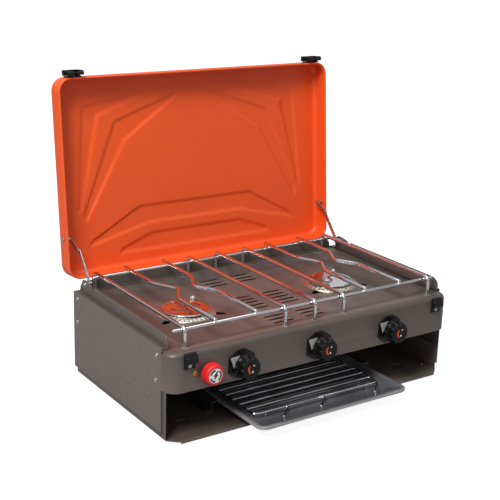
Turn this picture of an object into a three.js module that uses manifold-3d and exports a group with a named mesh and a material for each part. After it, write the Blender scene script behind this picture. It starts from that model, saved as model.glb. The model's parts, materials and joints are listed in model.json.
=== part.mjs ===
// Folding camp stove: two gas burners on a pressed hob, a grill tray in the case below, and a tray-shaped lid.
// Millimetres. X runs to the right, Y to the back and Z up from the floor. Parts are laid out from the middle of
// the front panel's face, and the last group moves them so that the origin is under the middle of the whole.
import * as THREE from "three";
import { mergeVertices } from "three/addons/utils/BufferGeometryUtils.js";
import Module from "manifold-3d";

// ---- Driving dimensions ----

const SHEET = 1; // pressed steel
const GAP = 0.3; // between pieces that touch
const CASE = { half: 250, depth: 290, bottom: 14.4, shoulder: 136.2, top: 155.4, inset: 7.7 };
const FASCIA = { bottom: 77.7, top: 134, corner: 20, return: 22.3, edge: 7 };
const FLOOR_PAN = { top: 6, front: 0, half: 246.4, wall: 45, hem: 3 };
const FOOT = { radius: 10, x: 198, ys: [51, 240] };
const WELL = { floor: 124.8, half: 205, front: 40, back: 268, slopeX: 17, slopeY: 13 };
const BURNER = { x: 134.5, y: 153, hole: 36, flange: 45, cap: 36 };
const SLOT = { width: 3.4, length: 35, x: 28 };
const SLOT_ROWS = [53.5, 66, 78.5, 92, 117.3, 130, 143, 155.5, 168, 232, 245, 259];
const KNOB = { xs: [-137.5, -5, 127.4], z: 101.7, radius: 17.6, face: 15.6, front: 27, back: 10.5, hub: 5.4, push: 2.5 };
const PIEZO = { x: -188.8, z: 100.2, radius: 15.6, front: 17.5, push: 3.5 };
const CATCH = { x: 220, half: 8.6, bottom: 111, block: 121, top: 134.5, out: 10 };
const LID = { length: 305.5, depth: 32.9, half: 247.2, corner: 20, shoulder: 8, sheet: 1.2, hem: 2.6, lean: 5.14 };
const PIVOT = { y: 307.9, z: 137.8, radius: 3.1 };
const RIM = { y: 307.8, z: 145.7 }; // the lid's rim at its hinge edge, open
const HINGE = { x: 130, length: 88, pin: 1.4 };
const STAY = { ear: [265, 152.5], pin: [61.5, 14.7], lower: 55, upper: 29.5, lowerX: 235, upperX: 236.9, width: 7 };
const PIN_SLOT = { front: 236, back: 242.6, floor: 149 }; // where the lid's stay pin comes down into the upstand
const LATCH = { half: 12.4, pinU: 312, pinV: -3, reach: 22, window: [3.6, 14] };
const WIRE = { bar: 3, rail: 2.6, z: 161.7, front: 17, back: 284, railFront: 25.2, railBack: 272.7 };
const BARS = [-217, -165, -98, -52.4, 0, 52.4, 98, 165, 217];
const TRAY = { half: 133, front: -48, length: 250, rim: 21.6, floor: 10.6, corner: 12, sheet: 0.8, ramp: 27 };
const RACK = { half: 112.5, z: 17.8, wire: 1.3, first: 0, pitch: 18.4, wires: 11 };
const HOOD = { half: 152, front: 76, top: 87, skirt: 60 };
const PIPE = { y: 40, x: 205, radius: 5 };
const CENTRE_Y = 160; // the middle of the whole, behind the front panel's face

// ---- Materials ----

const paint = (color, roughness = 0.5, metalness = 0.4) => ({ color, roughness, metalness });
const GREY = paint(0x6c645f);
const ORANGE = paint(0xe8562a, 0.38, 0.1);
const BLACK = paint(0x17161a, 0.55, 0);
const RUBBER = paint(0x1b1b1c, 0.9, 0);
const ENAMEL = paint(0x2b2a2c, 0.3, 0.3);
const STEEL = paint(0xb9b9bb, 0.35, 0.9);
const CHROME = paint(0xd8dade, 0.12, 1);
const ALUMINIUM = paint(0xc9c7c3, 0.45, 0.9);
const BRASS = paint(0xb98c3c, 0.35, 0.9);
const RED = paint(0xd02a25, 0.4, 0);
const CERAMIC = paint(0xe9e5dc, 0.4, 0);

// ---- Solids ----

const wasm = await Module();
wasm.setup();

const GRID = 1000; // steps in a millimetre, so that faces meant to lie in one plane do

/** A closed geometry as a solid. */
function solid(geometry) {
  const bare = new THREE.BufferGeometry();
  const flat = geometry.index ? geometry.toNonIndexed() : geometry;
  const positions = flat.getAttribute("position").array.map((value) => Math.round(value * GRID) / GRID);
  bare.setAttribute("position", new THREE.BufferAttribute(positions, 3));
  const merged = mergeVertices(bare, 0.5 / GRID);
  const vertProperties = merged.getAttribute("position").array;
  const triVerts = new Uint32Array(merged.index.array);
  return new wasm.Manifold(new wasm.Mesh({ numProp: 3, vertProperties, triVerts }));
}

/** A solid as a geometry. */
function geometryOf(body) {
  const mesh = body.getMesh();
  const positions = new Float32Array(mesh.numVert * 3);
  for (let i = 0; i < mesh.numVert; i++) {
    for (let axis = 0; axis < 3; axis++) {
      positions[3 * i + axis] = mesh.vertProperties[mesh.numProp * i + axis];
    }
  }
  const geometry = new THREE.BufferGeometry();
  geometry.setAttribute("position", new THREE.BufferAttribute(positions, 3));
  geometry.setIndex(new THREE.BufferAttribute(new Uint32Array(mesh.triVerts), 1));
  geometry.computeVertexNormals();
  return geometry;
}

const join = (...geometries) => geometryOf(geometries.map(solid).reduce((a, b) => a.add(b)));
const cut = (geometry, ...tools) => geometryOf(tools.map(solid).reduce((a, b) => a.subtract(b), solid(geometry)));

// ---- Shapes ----

/** A box between two opposite corners. */
function block(x0, x1, y0, y1, z0, z1) {
  const geometry = new THREE.BoxGeometry(x1 - x0, y1 - y0, z1 - z0);
  return geometry.translate((x0 + x1) / 2, (y0 + y1) / 2, (z0 + z1) / 2);
}

/** A cylinder from one end to the other along an axis, "x", "y" or "z". */
function rod(axis, centre, radius, from, to, sides = 16) {
  const geometry = new THREE.CylinderGeometry(radius, radius, to - from, sides);
  const middle = (from + to) / 2;
  if (axis === "x") return geometry.rotateZ(-Math.PI / 2).translate(middle, centre[0], centre[1]);
  if (axis === "y") return geometry.translate(centre[0], middle, centre[1]);
  return geometry.rotateX(Math.PI / 2).translate(centre[0], centre[1], middle);
}

/** A flat outline through the given points. */
const outline = (points) => new THREE.Shape(points.map(([a, b]) => new THREE.Vector2(a, b)));

/** A Y-Z outline made into a plate from x0 to x1. */
function plateX(shape, x0, x1, curveSegments = 6) {
  const geometry = new THREE.ExtrudeGeometry(shape, { depth: x1 - x0, bevelEnabled: false, curveSegments });
  return geometry.rotateX(Math.PI / 2).rotateZ(Math.PI / 2).translate(x0, 0, 0);
}

/** An X-Z outline made into a plate from y0 to y1. */
function plateY(shape, y0, y1, curveSegments = 6) {
  const geometry = new THREE.ExtrudeGeometry(shape, { depth: y1 - y0, bevelEnabled: false, curveSegments });
  return geometry.rotateX(Math.PI / 2).translate(0, y1, 0);
}

/** An X-Y outline made into a plate from z0 to z1. */
function plateZ(shape, z0, z1, curveSegments = 6) {
  const geometry = new THREE.ExtrudeGeometry(shape, { depth: z1 - z0, bevelEnabled: false, curveSegments });
  return geometry.translate(0, 0, z0);
}

/** A rectangle's outline with a radius for each end in Y. */
function rounded(x0, x1, y0, y1, low, high = low) {
  const shape = new THREE.Shape();
  shape.absarc(x0 + low, y0 + low, low, Math.PI, 1.5 * Math.PI);
  shape.absarc(x1 - low, y0 + low, low, 1.5 * Math.PI, 2 * Math.PI);
  shape.absarc(x1 - high, y1 - high, high, 0, Math.PI / 2);
  shape.absarc(x0 + high, y1 - high, high, Math.PI / 2, Math.PI);
  return shape;
}

/** The skin through a stack of outlines that have equally many points, capped at both ends. */
function loft(rings, divisions = 2) {
  const stack = rings.map(([shape, z]) => shape.getPoints(divisions).map((p) => new THREE.Vector3(p.x, p.y, z)));
  for (const ring of stack) {
    if (ring[0].distanceTo(ring[ring.length - 1]) < 1e-6) ring.pop();
  }
  const count = stack[0].length;
  const index = [];
  for (let r = 0; r + 1 < stack.length; r++) {
    for (let i = 0; i < count; i++) {
      const a = r * count + i;
      const b = r * count + ((i + 1) % count);
      index.push(a, b, b + count, a, b + count, a + count);
    }
  }
  const caps = THREE.ShapeUtils.triangulateShape(stack[0], []);
  const last = (stack.length - 1) * count;
  for (const [a, b, c] of caps) {
    index.push(a, c, b, last + a, last + b, last + c);
  }
  const geometry = new THREE.BufferGeometry().setFromPoints(stack.flat());
  geometry.setIndex(index);
  return geometry;
}

/** A wire's centre line that puts one step of the wire on each of its points. */
class Route extends THREE.Curve {
  constructor(points) {
    super();
    this.points = points;
  }
  getPoint(t) {
    const at = t * (this.points.length - 1);
    const i = Math.min(Math.floor(at), this.points.length - 2);
    return this.points[i].clone().lerp(this.points[i + 1], at - i);
  }
  getPointAt(u) {
    return this.getPoint(u);
  }
  getTangentAt(u) {
    const i = Math.round(u * (this.points.length - 1));
    const along = new THREE.Vector3();
    if (i > 0) along.add(this.points[i].clone().sub(this.points[i - 1]).normalize());
    if (i + 1 < this.points.length) along.add(this.points[i + 1].clone().sub(this.points[i]).normalize());
    return along.normalize();
  }
}

/** Points along a bent line, with each corner rounded off over the given distance. */
function bend(corners, radius, steps = 3) {
  const at = corners.map((c) => new THREE.Vector3(...c));
  const points = [at[0]];
  for (let i = 1; i + 1 < at.length; i++) {
    const into = at[i - 1].clone().sub(at[i]);
    const out = at[i + 1].clone().sub(at[i]);
    const reach = Math.min(radius, into.length() / 2.1, out.length() / 2.1);
    const start = at[i].clone().addScaledVector(into.normalize(), reach);
    const end = at[i].clone().addScaledVector(out.normalize(), reach);
    const arc = new THREE.QuadraticBezierCurve3(start, at[i], end);
    points.push(...arc.getPoints(steps));
  }
  points.push(at[at.length - 1]);
  return points;
}

/** A round wire or tube along a bent line. */
function wire(corners, radius, bendRadius = 8, sides = 6, steps = 2) {
  const points = bend(corners, bendRadius, steps);
  const section = new THREE.Shape();
  section.absarc(0, 0, radius, 0, 2 * Math.PI);
  return new THREE.ExtrudeGeometry(section, {
    extrudePath: new Route(points),
    steps: points.length - 1,
    curveSegments: sides / 2,
    bevelEnabled: false,
  });
}

/** A turned piece from its half section, [radius, height] pairs that close on themselves or on the axis. */
function turned(section, sides = 16) {
  const points = section.map(([r, z]) => new THREE.Vector2(r, z));
  return new THREE.LatheGeometry(points, sides).rotateX(Math.PI / 2);
}

const SIDES = [
  ["left", -1],
  ["right", 1],
];

// ---- Scene ----

const stove = new THREE.Group();
stove.position.y = -CENTRE_Y;

/** Adds one sub-part to a group. */
function add(parent, name, geometry, material, position = [0, 0, 0]) {
  const mesh = new THREE.Mesh(geometry, new THREE.MeshStandardMaterial(material));
  mesh.name = name;
  mesh.position.set(...position);
  parent.add(mesh);
  return mesh;
}

/** Turns a geometry made for the right-hand side into its left-hand twin. */
function mirrored(geometry) {
  const twin = geometry.index ? geometry.toNonIndexed() : geometry.clone();
  twin.scale(-1, 1, 1);
  const p = twin.getAttribute("position");
  for (let i = 0; i < p.count; i += 3) {
    const [x, y, z] = [p.getX(i), p.getY(i), p.getZ(i)];
    p.setXYZ(i, p.getX(i + 1), p.getY(i + 1), p.getZ(i + 1));
    p.setXYZ(i + 1, x, y, z);
  }
  twin.computeVertexNormals();
  return twin;
}

const sided = (geometry, sign) => (sign < 0 ? mirrored(geometry) : geometry);

// ---- Case ----

/** The floor pan, with turned-up sides, a front hem and four dimples over the feet. */
function floorPan() {
  const { top, half, wall, hem, front } = FLOOR_PAN;
  const back = CASE.depth - 2;
  const chamfer = 11.5;
  const shape = outline([
    [-half + 16, front],
    [half - 16, front],
    [half - 3, chamfer],
    [half, chamfer + 3],
    [half, back],
    [-half, back],
    [-half, chamfer + 3],
    [-half + 3, chamfer],
  ]);
  let pan = join(
    plateZ(shape, top - SHEET, top),
    block(-half + 16, half - 16, front, front + SHEET, hem, top),
    block(-half, -half + SHEET, chamfer + 4, back, top - SHEET, wall),
    block(half - SHEET, half, chamfer + 4, back, top - SHEET, wall),
    block(-half, half, back - SHEET, back, top - SHEET, wall - 15),
  );
  for (const [, sign] of SIDES) {
    for (const y of FOOT.ys) {
      const at = [sign * FOOT.x, y];
      pan = join(pan, rod("z", at, FOOT.radius + 2, hem, top - SHEET / 2, 16));
      pan = cut(pan, rod("z", at, FOOT.radius + 1, hem + SHEET, top + 1, 16));
    }
  }
  return pan;
}
add(stove, "floor_pan", floorPan(), GREY);

/** A side panel with its lower front joggle, the shoulder under the lid and the upstand inside the lid. */
function sidePanel() {
  const { half, depth, bottom, shoulder, top, inset } = CASE;
  const back = depth - SHEET - GAP;
  const upstand = new THREE.Shape();
  upstand.moveTo(20.5, shoulder - SHEET);
  upstand.lineTo(19.2, 143);
  upstand.quadraticCurveTo(20, top, 38, top);
  upstand.lineTo(PIN_SLOT.front, top);
  upstand.lineTo(PIN_SLOT.front, PIN_SLOT.floor);
  upstand.lineTo(PIN_SLOT.back, PIN_SLOT.floor);
  upstand.lineTo(PIN_SLOT.back, top);
  upstand.quadraticCurveTo(254, 159.2, 265, 159.2);
  upstand.quadraticCurveTo(276, 159.2, 277, 150);
  upstand.lineTo(277, shoulder - SHEET);
  const inner = half - inset;
  return join(
    block(half - SHEET, half, FASCIA.return + 0.4, back, bottom, shoulder),
    block(half - 3, half - 2, 13.2, FASCIA.return + 1.4, bottom, FASCIA.bottom - GAP),
    block(half - 3, half, FASCIA.return + 0.4, FASCIA.return + 1.4, bottom, FASCIA.bottom - GAP),
    block(inner - SHEET, half, FASCIA.return + 0.4, back, shoulder - SHEET, shoulder),
    plateX(upstand, inner - SHEET, inner),
  );
}

for (const [side, sign] of SIDES) {
  add(stove, `side_panel_${side}`, sided(sidePanel(), sign), GREY);
}

/** The back panel, with the hole for the gas pipe. */
function backPanel() {
  const { half, depth, bottom, shoulder } = CASE;
  const upper = half - 11;
  const top = 149;
  const shape = new THREE.Shape();
  shape.moveTo(-half, bottom);
  shape.lineTo(half, bottom);
  shape.lineTo(half, shoulder);
  shape.lineTo(upper, shoulder);
  shape.quadraticCurveTo(upper, top, upper - 10, top);
  shape.lineTo(-upper + 10, top);
  shape.quadraticCurveTo(-upper, top, -upper, shoulder);
  shape.lineTo(-half, shoulder);
  return cut(
    plateY(shape, depth - SHEET, depth, 4),
    rod("y", [PIPE.x, KNOB.z], PIPE.radius + 1, depth - 5, depth + 5),
  );
}
add(stove, "back_panel", backPanel(), GREY);

for (const [side, sign] of SIDES) {
  for (const [i, end] of ["front", "rear"].entries()) {
    const foot = turned([
      [0, 0],
      [FOOT.radius - 1.5, 0],
      [FOOT.radius, 1.5],
      [FOOT.radius, FLOOR_PAN.hem - GAP],
      [0, FLOOR_PAN.hem - GAP],
    ]);
    add(stove, `foot_${end}_${side}`, foot, RUBBER, [sign * FOOT.x, FOOT.ys[i], 0]);
  }
}

// ---- Hob and front panel, one pressing ----

/** Where the pan support's legs go through the hob: [x, y]. */
const LEG_BARS = [0, 3, 4, 5, 8];
const legHoles = LEG_BARS.flatMap((i) => [
  [BARS[i], WIRE.front],
  [BARS[i], WIRE.back],
]);

/** The hollow under the front panel's top edge, or the panel's own outside when wall is 0. */
function fasciaBlock(wall) {
  const { bottom, top, corner, edge } = FASCIA;
  const half = CASE.half - wall;
  const low = bottom - (wall ? 10 : 0);
  const rings = [[0, low]];
  for (let step = 0; step <= 3; step++) {
    const angle = (step / 3) * (Math.PI / 2);
    rings.push([edge * (1 - Math.cos(angle)), top - wall - edge * (1 - Math.sin(angle))]);
  }
  const back = FASCIA.return + (wall ? 2 : 0);
  return loft(rings.map(([inset, z]) => [
    rounded(-half + inset, half - inset, wall + inset, back, corner - wall - inset / 2, 0.05),
    z,
  ]));
}

/** The well's slope between the ledge and the floor, lowered by drop. */
function wellBlock(drop) {
  const { floor, half, front, back, slopeX, slopeY } = WELL;
  const ledge = FASCIA.top - drop;
  const rise = ledge + (drop ? SHEET / 2 : 1) - (floor - drop);
  const span = ledge - (floor - drop);
  const grow = rise / span;
  return loft([
    [rounded(-half, half, front, back, 18), floor - drop],
    [rounded(-half - slopeX * grow, half + slopeX * grow, front - slopeY * grow, back + slopeY * grow, 24),
      floor - drop + rise],
  ]);
}

function hobTop() {
  const half = CASE.half - SHEET - GAP;
  const back = CASE.depth - SHEET - GAP;
  const { top } = FASCIA;
  const ledge = block(-half, half, FASCIA.return - 1, back, top - SHEET, top);
  const shell = cut(fasciaBlock(0), fasciaBlock(SHEET));
  const inside = block(-half - 5, half + 5, FASCIA.return + 1, back + 5, top, top + 20);
  let hob = solid(join(shell, ledge, wellBlock(SHEET)));
  hob = hob.subtract(solid(wellBlock(0)));
  hob = hob.subtract(solid(inside));
  const tools = [];
  for (const [, sign] of SIDES) {
    const x = sign * BURNER.x;
    tools.push(rod("z", [x, BURNER.y], BURNER.hole, 110, 140, 24));
    tools.push(rod("z", [x + 33, BURNER.y + 33], 4, 110, 140, 8));
    for (const turn of [206, -33]) {
      const notch = plateZ(outline([[30, -9], [56, -2], [56, 2], [30, 9]]), 110, 140);
      tools.push(notch.rotateZ(THREE.MathUtils.degToRad(turn)).translate(x, BURNER.y, 0));
    }
    for (const y of SLOT_ROWS) {
      const [l, w] = [SLOT.length / 2, SLOT.width / 2];
      tools.push(block(sign * SLOT.x - l, sign * SLOT.x + l, y - w, y + w, 110, 140));
    }
  }
  for (const at of legHoles) tools.push(rod("z", at, WIRE.bar + 1, 110, 140, 8));
  for (const x of KNOB.xs) tools.push(rod("y", [x, KNOB.z], 7, -5, 10));
  tools.push(rod("y", [PIEZO.x, PIEZO.z], 9, -5, 10));
  for (const tool of tools) hob = hob.subtract(solid(tool));
  return geometryOf(hob);
}
add(stove, "hob_top", hobTop(), GREY);

// ---- Burners ----

for (const [side, sign] of SIDES) {
  const { y, flange, hole, cap } = BURNER;
  const z = WELL.floor;
  const cup = turned([
    [0, z - 22],
    [26, z - 22],
    [hole - 2, z - 8],
    [hole - 2, z + GAP],
    [flange, z + GAP],
    [flange, z + 1.2],
    [35, z + 4.4],
    [32, z + 5],
    [24, z + 5],
    [24, z - 8],
    [18, z - 20],
    [0, z - 20],
  ], 28);
  const tube = rod("y", [0, z - 13], 7, 52 - y, -20, 12);
  const bore = rod("y", [0, z - 13], 5.6, 50 - y, -24, 12);
  const notch = rod("z", [33, 33], 3.4, z - 2, z + 6, 12);
  add(stove, `burner_${side}`, cut(join(cup, tube), bore, notch), ALUMINIUM, [sign * BURNER.x, y, 0]);
  const lidDisc = turned([
    [0, z + 5 + GAP],
    [cap - 3, z + 5 + GAP],
    [cap, z + 6],
    [cap, z + 7],
    [cap - 4, z + 8],
    [cap - 10, z + 7.6],
    [0, z + 7.6],
  ], 28);
  add(stove, `burner_cap_${side}`, lidDisc, CHROME, [sign * BURNER.x, y, 0]);
  const electrode = turned([[0, 114], [2.6, 114], [2.6, 128], [1, 128.5], [1, 131.5], [0, 131.5]], 10);
  add(stove, `electrode_${side}`, electrode, CERAMIC, [sign * BURNER.x + 33, y + 33, 0]);
}

// ---- Gas line ----

const pipeBack = CASE.depth + 4;
add(stove, "gas_pipe", wire(
  [[-152, PIPE.y, KNOB.z], [PIPE.x, PIPE.y, KNOB.z], [PIPE.x, pipeBack, KNOB.z]],
  PIPE.radius, 14, 8, 3,
), BRASS);

const inlet = turned([
  [0, pipeBack + GAP],
  [9, pipeBack + GAP],
  [9, pipeBack + 9],
  [5.5, pipeBack + 10],
  [6.5, pipeBack + 14],
  [5, pipeBack + 20],
  [6, pipeBack + 20.5],
  [4.5, pipeBack + 28],
  [2.5, pipeBack + 28],
  [2.5, pipeBack + 2],
  [0, pipeBack + 2],
], 12).rotateX(-Math.PI / 2);
add(stove, "gas_inlet", inlet, BRASS, [PIPE.x, 0, KNOB.z]);

/** A gas tap: its block, the sleeve behind the panel and the jet that points into a burner's tube. */
function tap() {
  const ground = block(-9, 9, 8, PIPE.y - PIPE.radius - GAP, -10, 16);
  const sleeve = rod("y", [0, 0], 6.4, 1.5, 9, 12);
  const jet = rod("y", [0, 10], 3, PIPE.y - 8, 50, 8);
  return cut(join(ground, sleeve, jet), rod("y", [0, 0], 4.4, 0, 16, 12));
}

/** The eight-sided plate behind a knob. */
function bezel() {
  const corners = [[20.8, 11.5], [7, 20.8], [-7, 20.8], [-20.8, 11.5], [-20.8, -11.5], [-7, -20.8], [7, -20.8], [20.8, -11.5]];
  return cut(plateY(outline(corners), -2.6, -GAP), rod("y", [0, 0], 6, -4, 1, 12));
}

/** A tapered knob with finger flutes on a narrower hub, bored for its stem. */
function knob() {
  const flutes = 9;
  const around = 36;
  const ring = (radius, depth) => {
    const points = [];
    for (let i = 0; i < around; i++) {
      const angle = (i / around) * 2 * Math.PI;
      const dip = Math.max(0, Math.cos(flutes * angle)) * depth;
      points.push([(radius - dip) * Math.cos(angle), (radius - dip) * Math.sin(angle)]);
    }
    return outline(points);
  };
  const { radius, face, front, back, hub } = KNOB;
  const grip = loft([
    [ring(radius, 0), back],
    [ring(radius, 1.2), back + 4],
    [ring(face + 0.4, 1.4), front - 2],
    [ring(face - 0.8, 0.6), front],
  ], 1).rotateX(Math.PI / 2);
  return cut(join(grip, rod("y", [0, 0], 9.6, -back - 1, -hub, 20)), rod("y", [0, 0], 4.2, -front + 5, 0, 12));
}

for (const [i, name] of ["left", "middle", "right"].entries()) {
  const at = [KNOB.xs[i], 0, KNOB.z];
  add(stove, `gas_tap_${name}`, tap(), BRASS, at);
  add(stove, `knob_bezel_${name}`, bezel(), BLACK, at);
  add(stove, `tap_stem_${name}`, rod("y", [0, 0], 3.8, -KNOB.front + 6, 11, 12), STEEL, at);
  add(stove, `knob_${name}`, knob(), BLACK, at);
}

// ---- Igniter ----

const igniter = cut(
  join(
    rod("y", [0, 0], 8.5, -1, 46, 12),
    rod("y", [0, 0], 11.5, -2.3, -GAP, 16),
    rod("y", [0, 0], 12, SHEET + GAP, 4, 6),
  ),
  rod("y", [0, 0], 3.7, -4, 20, 12),
);
add(stove, "igniter_body", igniter, BLACK, [PIEZO.x, 0, PIEZO.z]);

/** The push cap: a ribbed cup on a plunger. */
function igniterCap() {
  const { radius, front } = PIEZO;
  const ribs = 20;
  const ring = (r) => outline(Array.from({ length: ribs * 2 }, (_, i) => {
    const angle = (i / ribs) * Math.PI;
    const reach = r - (i % 2) * 0.7;
    return [reach * Math.cos(angle), reach * Math.sin(angle)];
  }));
  const cup = loft([[ring(radius), 4], [ring(radius - 1), front - 1.5], [ring(radius - 2.6), front]], 1);
  return join(
    cut(cup.rotateX(Math.PI / 2), rod("y", [0, 0], 12.4, -front + 4, 0, 20)),
    rod("y", [0, 0], 3.2, -front + 3, 8, 12),
  );
}
add(stove, "igniter_cap", igniterCap(), RED, [PIEZO.x, 0, PIEZO.z]);

const screwHead = turned([[0, GAP], [3.9, GAP], [3.9, 1], [2.6, 2.2], [0, 2.2]], 12);
const slottedHead = cut(screwHead.rotateX(Math.PI / 2), block(-5, 5, -3, -1.3, -0.5, 0.5).rotateY(-0.9));
add(stove, "brass_screw", slottedHead, BRASS, [-211, 0, 102.5]);

// ---- Grill ----

/** The heat shield over the grill: a sheet folded down at its sides and back. */
function hood() {
  const { half, front, top, skirt } = HOOD;
  const back = CASE.depth - SHEET - GAP;
  return cut(
    block(-half, half, front, back, skirt, top),
    block(-half + SHEET, half - SHEET, front - 1, back - SHEET, skirt - 1, top - SHEET),
    block(-half - 1, half + 1, back - SHEET - 1, back + 1, skirt - 1, top - 14),
  );
}
add(stove, "grill_hood", hood(), STEEL);

const grillBurner = cut(
  wire([[KNOB.xs[1], 51.5, WELL.floor - 13], [KNOB.xs[1], 62, WELL.floor - 13], [0, 64, 66], [0, 262, 66]], 8, 8, 12, 3),
  rod("y", [KNOB.xs[1], WELL.floor - 13], 5, 45, 56, 12),
);
add(stove, "grill_burner", grillBurner, STEEL);

for (const [side, sign] of SIDES) {
  const shelf = TRAY.rim - 1.1 - GAP;
  const inner = TRAY.half - 2.2;
  const runner = join(
    block(inner, inner + 14, 60, 284, shelf - SHEET, shelf),
    block(inner + 13, inner + 14, 60, 284, FLOOR_PAN.top + GAP, shelf),
    block(inner + 13, inner + 24, 60, 284, FLOOR_PAN.top + GAP, FLOOR_PAN.top + GAP + SHEET),
  );
  add(stove, `tray_runner_${side}`, sided(runner, sign), STEEL);
}

/** The drip tray with its turned rim and a front wall that slopes up to the rim. */
function grillTray() {
  const { half, front, length, rim, floor, corner, sheet, ramp } = TRAY;
  const ring = (inset, radius, slope = 0) => (
    rounded(-half + inset, half - inset, front + inset + slope, front + length - inset, radius)
  );
  return loft([
    [ring(7.5, corner - 4, ramp), floor - sheet],
    [ring(5, corner - 2, ramp), floor + 1.4],
    [ring(3.6, corner - 1), rim - 1.1],
    [ring(0.5, corner + 1), rim - 1.1],
    [ring(0, corner + 1), rim - 0.5],
    [ring(0.5, corner + 1), rim],
    [ring(3.2, corner - 1), rim],
    [ring(5.8, corner - 2, ramp + 1.5), floor + 1.8],
    [ring(8, corner - 4, ramp + 1.5), floor],
  ]);
}
add(stove, "grill_tray", grillTray(), ENAMEL);

/** The wire rack that stands in the tray. */
function grillRack() {
  const { half, z, wire: r, first, pitch, wires } = RACK;
  const start = first;
  const end = first + pitch * (wires - 1);
  let rack = solid(wire([
    [0, start, z], [half, start, z], [half, end, z], [-half, end, z], [-half, start, z], [-1, start, z],
  ], r + 0.3));
  for (let i = 1; i < wires - 1; i++) {
    const y = first + i * pitch;
    rack = rack.add(solid(rod("x", [y, z + 0.9], r, -half, half, 6)));
  }
  for (const x of [-half + 20, half - 20]) {
    for (const y of [start, end]) {
      rack = rack.add(solid(rod("z", [x, y], r, TRAY.floor + GAP, z, 6)));
    }
  }
  return geometryOf(rack);
}
add(stove, "grill_rack", grillRack(), CHROME);

// ---- Pan support: one welded wire frame ----

/** A bar's side step around a burner: [y, offset] pairs, with the offset towards the burner. */
const STEP = [[198, 0], [157, 21], [124, 0]];
const BURNER_BARS = new Map([[1, 1], [2, -1], [6, 1], [7, -1]]);

function panSupport() {
  const { bar, rail, z, front, back, railFront, railBack } = WIRE;
  const railZ = z - bar - rail + 1;
  const pieces = BARS.map((x, i) => {
    if (BURNER_BARS.has(i)) {
      const towards = BURNER_BARS.get(i);
      const step = STEP.map(([y, offset]) => [x + towards * offset, y, z]);
      return wire([[x, back + 3, z], ...step, [x, railFront - 2, z]], bar, 9);
    }
    const foot = i === 4 ? FASCIA.top + 1 : WELL.floor + 4;
    return wire([[x, back, WELL.floor + 3], [x, back, z], [x, front, z], [x, front, foot]], bar, 8);
  });
  for (const y of [railFront, railBack]) pieces.push(rod("x", [y, railZ], rail, -227, 227, 6));
  return join(...pieces);
}
add(stove, "pan_support", panSupport(), CHROME);

// ---- Lid and what it carries, in the lid's own frame: X across, Y up from the hinge edge, Z out of the opening ----

const lid = new THREE.Group();
lid.position.set(0, RIM.y, RIM.z);
lid.rotation.x = THREE.MathUtils.degToRad(90 - LID.lean);
stove.add(lid);

/** The lid: a deep tray with round shoulders and a folded rim. */
function lidShell() {
  const { length, depth, half, corner, shoulder, sheet, hem } = LID;
  const ring = (inset) => rounded(-half + inset, half - inset, inset, length - inset, corner - inset * 0.6);
  const round = (radius, z, wall) => [0, 1, 2, 3].map((step) => {
    const angle = (step / 3) * (Math.PI / 2);
    return [ring(wall + radius * (1 - Math.sin(angle))), z + radius * (1 - Math.cos(angle))];
  });
  return loft([
    ...round(shoulder, -depth, 0),
    [ring(0), -0.6],
    [ring(0.6), 0],
    [ring(hem - 0.6), 0],
    [ring(hem), -0.6],
    [ring(hem), -4.5],
    [ring(sheet), -5.5],
    ...round(shoulder - sheet, -depth + sheet, sheet).reverse(),
  ]);
}
const pinned = SIDES.map(([, sign]) => rod("x", [STAY.pin[0], -STAY.pin[1]], 2.3, sign * 246 - 4, sign * 246 + 4, 12));
add(lid, "lid_shell", cut(lidShell(), ...pinned), ORANGE);

/** Lid-frame height and depth of the hinge's axis. */
const lean = THREE.MathUtils.degToRad(LID.lean);
const pivotU = (PIVOT.y - RIM.y) * Math.sin(lean) + (PIVOT.z - RIM.z) * Math.cos(lean);
const pivotW = -((PIVOT.y - RIM.y) * Math.cos(lean) - (PIVOT.z - RIM.z) * Math.sin(lean));

/** Five knuckles in a row: the case's leaf has the odd ones, the lid's leaf has the even ones. */
function knuckles(centre, which) {
  const pitch = HINGE.length / 5;
  return [0, 1, 2, 3, 4].filter((i) => i % 2 === which).map((i) => {
    const from = -HINGE.length / 2 + i * pitch + GAP / 2;
    return [from, from + pitch - GAP];
  });
}

for (const [side, sign] of SIDES) {
  const x = sign * HINGE.x;
  const half = HINGE.length / 2;
  const barrels = (centre, which) => knuckles(centre, which).map(([a, b]) => rod("x", centre, PIVOT.radius, a, b, 12));

  // the case's leaf: a plate on the back panel, a shelf out to the axis, the odd knuckles and the pin
  const axis = [PIVOT.y, PIVOT.z];
  const wall = CASE.depth + GAP;
  const shelves = knuckles(axis, 0).map(([a, b]) => block(a, b, wall, PIVOT.y, PIVOT.z - 3.1, PIVOT.z - 1.9));
  const caseLeaf = join(
    block(-half, half, wall, wall + 1.2, 108, PIVOT.z - 1.9),
    ...shelves,
    ...barrels(axis, 0),
    rod("x", axis, HINGE.pin, -half, half, 8),
  );
  add(stove, `hinge_case_${side}`, caseLeaf, STEEL, [x, 0, 0]);

  // the lid's leaf: a plate on the lid's lower wall and the even knuckles
  const lidAxis = [pivotU, pivotW];
  const arms = knuckles(lidAxis, 1).map(([a, b]) => (
    block(a, b, pivotU, -GAP, pivotW - PIVOT.radius, pivotW - PIVOT.radius + 1.2)
  ));
  const lidLeaf = cut(
    join(
      block(-half, half, -1.5, -GAP, -24, pivotW - PIVOT.radius + 1.2),
      ...arms,
      ...barrels(lidAxis, 1),
    ),
    rod("x", lidAxis, HINGE.pin + 0.4, -half - 1, half + 1, 8),
  );
  add(lid, `hinge_lid_${side}`, lidLeaf, STEEL, [x, 0, 0]);
}

// ---- Stays: two links on each side, from an ear of the side panel to a pin in the lid ----

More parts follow.
